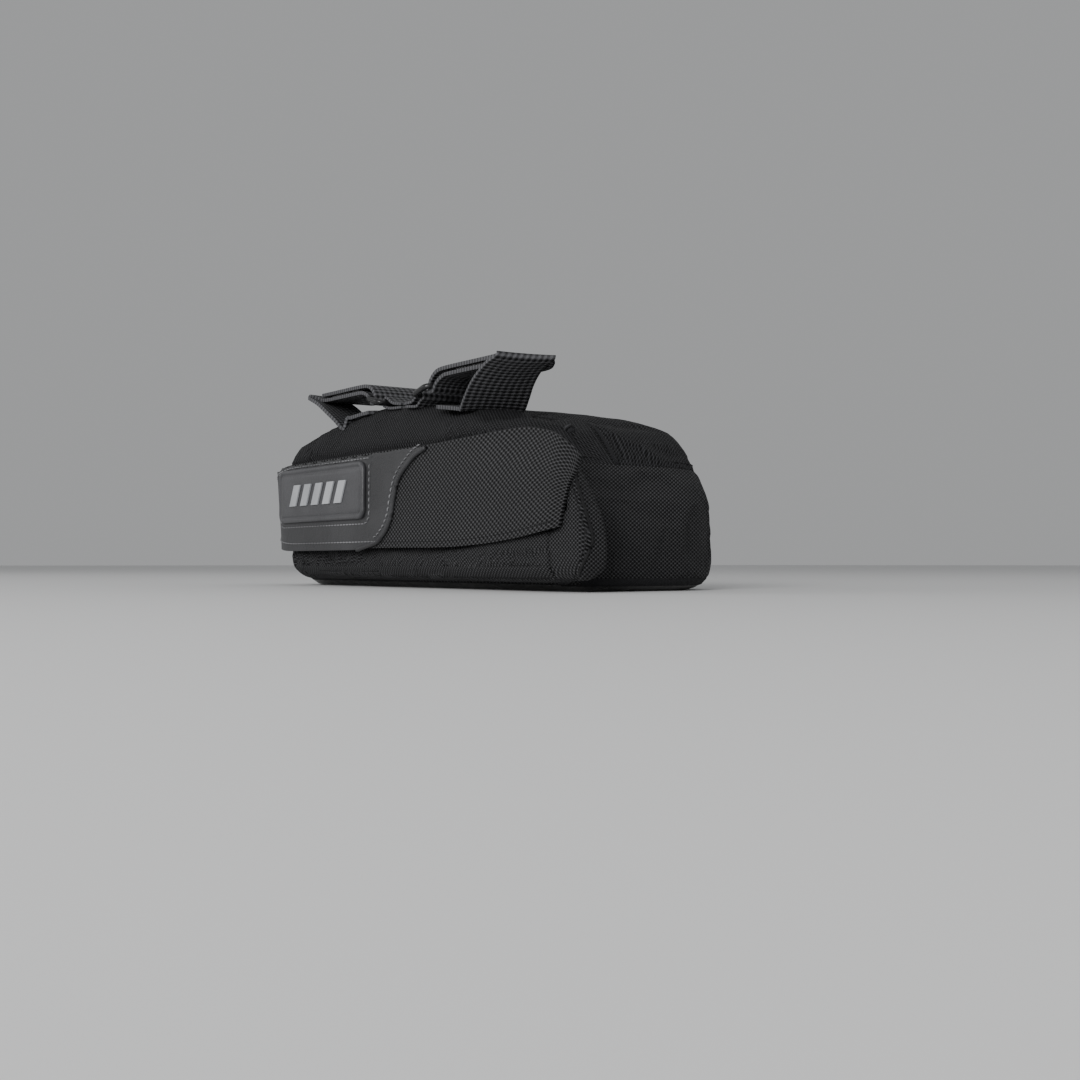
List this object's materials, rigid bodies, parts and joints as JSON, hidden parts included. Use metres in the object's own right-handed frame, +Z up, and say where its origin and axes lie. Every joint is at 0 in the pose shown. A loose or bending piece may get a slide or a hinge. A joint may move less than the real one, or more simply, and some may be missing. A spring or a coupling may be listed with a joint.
{
  "type": "motorcycle tail bag",
  "caption": "Soft zipped tail bag that hangs under a luggage rack by webbing loops, with a belt-like closing wing, a smooth badge end and a drop-down mouth flap.",
  "frame": {"origin": "On the flat underside of the main pouch, midway between the two mounting straps.", "axes": "+X to the right end of the bag, where the wing is sewn on; +Y away from the mouth, towards the front of the motorcycle; +Z up."},
  "size_m": [0.3196, 0.1226, 0.1109],
  "materials": {
    "woven_nylon": "coarse ballistic weave, matte",
    "coated_underside": "coated cloth, glossy",
    "lining_cloth": "fine plain weave, satin",
    "edge_binding": "ribbed binding tape",
    "stiffener_board": "smooth board",
    "leatherette": "smooth, fine grain, satin",
    "badge_rubber": "moulded, satin",
    "badge_mark": "light grey, raised",
    "webbing": "ribbed webbing",
    "ring_wire": "black coated wire",
    "hook_loop": "hook and loop pile",
    "zip_tape": "knitted tape",
    "zip_coil": "nylon coil",
    "zip_metal": "black coated zinc",
    "puller_rubber": "moulded grip"
  },
  "bodies": {
    "bag_body": {"rear_wall": "woven_nylon", "front_wall": "woven_nylon", "right_gusset": "woven_nylon", "left_gusset": "woven_nylon", "shoulder_panel": "woven_nylon", "lid_panel": "woven_nylon", "wing_anchor": "woven_nylon", "bottom_panel": "coated_underside", "lining": "lining_cloth", "lid_piping": "edge_binding", "bottom_binding": "edge_binding", "base_board": "stiffener_board", "strap_right": "webbing", "strap_left": "webbing", "ring_tab_right": "webbing", "ring_tab_left": "webbing", "strap_ring_right": "ring_wire", "strap_ring_left": "ring_wire", "strap_loop_patch_right": "hook_loop", "strap_loop_patch_left": "hook_loop", "strap_hook_patch_right": "hook_loop", "strap_hook_patch_left": "hook_loop", "body_loop_patch": "hook_loop", "zip_tape_upper": "zip_tape", "zip_coil_upper": "zip_coil"},
    "closure_wing": {"wing_backing": "lining_cloth", "wing_panel": "woven_nylon", "leather_end": "leatherette", "leather_edge_cord": "edge_binding", "badge_plate": "badge_rubber", "badge_motif": "badge_mark", "wing_hook_patch": "hook_loop"},
    "mouth": {"mouth_flap": "woven_nylon", "zip_tape_lower": "zip_tape", "zip_coil_lower": "zip_coil"},
    "slider": {"zip_slider": "zip_metal"},
    "puller": {"puller_link": "zip_metal", "puller_grip": "puller_rubber"}
  },
  "joints": [
    {"name": "wing_hinge", "type": "hinge", "parent": "bag_body", "child": "closure_wing", "pos_m": [0.16, -0.0445, 0.05], "axis": [0, 0, 1], "range_deg": [0, 110]},
    {"name": "mouth_hinge", "type": "hinge", "parent": "bag_body", "child": "mouth", "pos_m": [0.018, -0.0435, 0.0085], "axis": [1, 0, 0], "range_deg": [0, 55], "deforming": ["zip_tape_lower", "zip_coil_lower"]},
    {"name": "zip_slide", "type": "slide", "parent": "bag_body", "child": "slider", "axis": [1, 0, 0], "range_m": [0, 0.188]},
    {"name": "puller_hinge", "type": "hinge", "parent": "slider", "child": "puller", "pos_m": [-0.076, -0.038, 0.0455], "axis": [0, 1, 0], "range_deg": [-90, 90]}
  ],
  "couplings": [
    {"joint": "mouth_hinge", "follows": "wing_hinge", "ratio": 0.5}
  ]
}
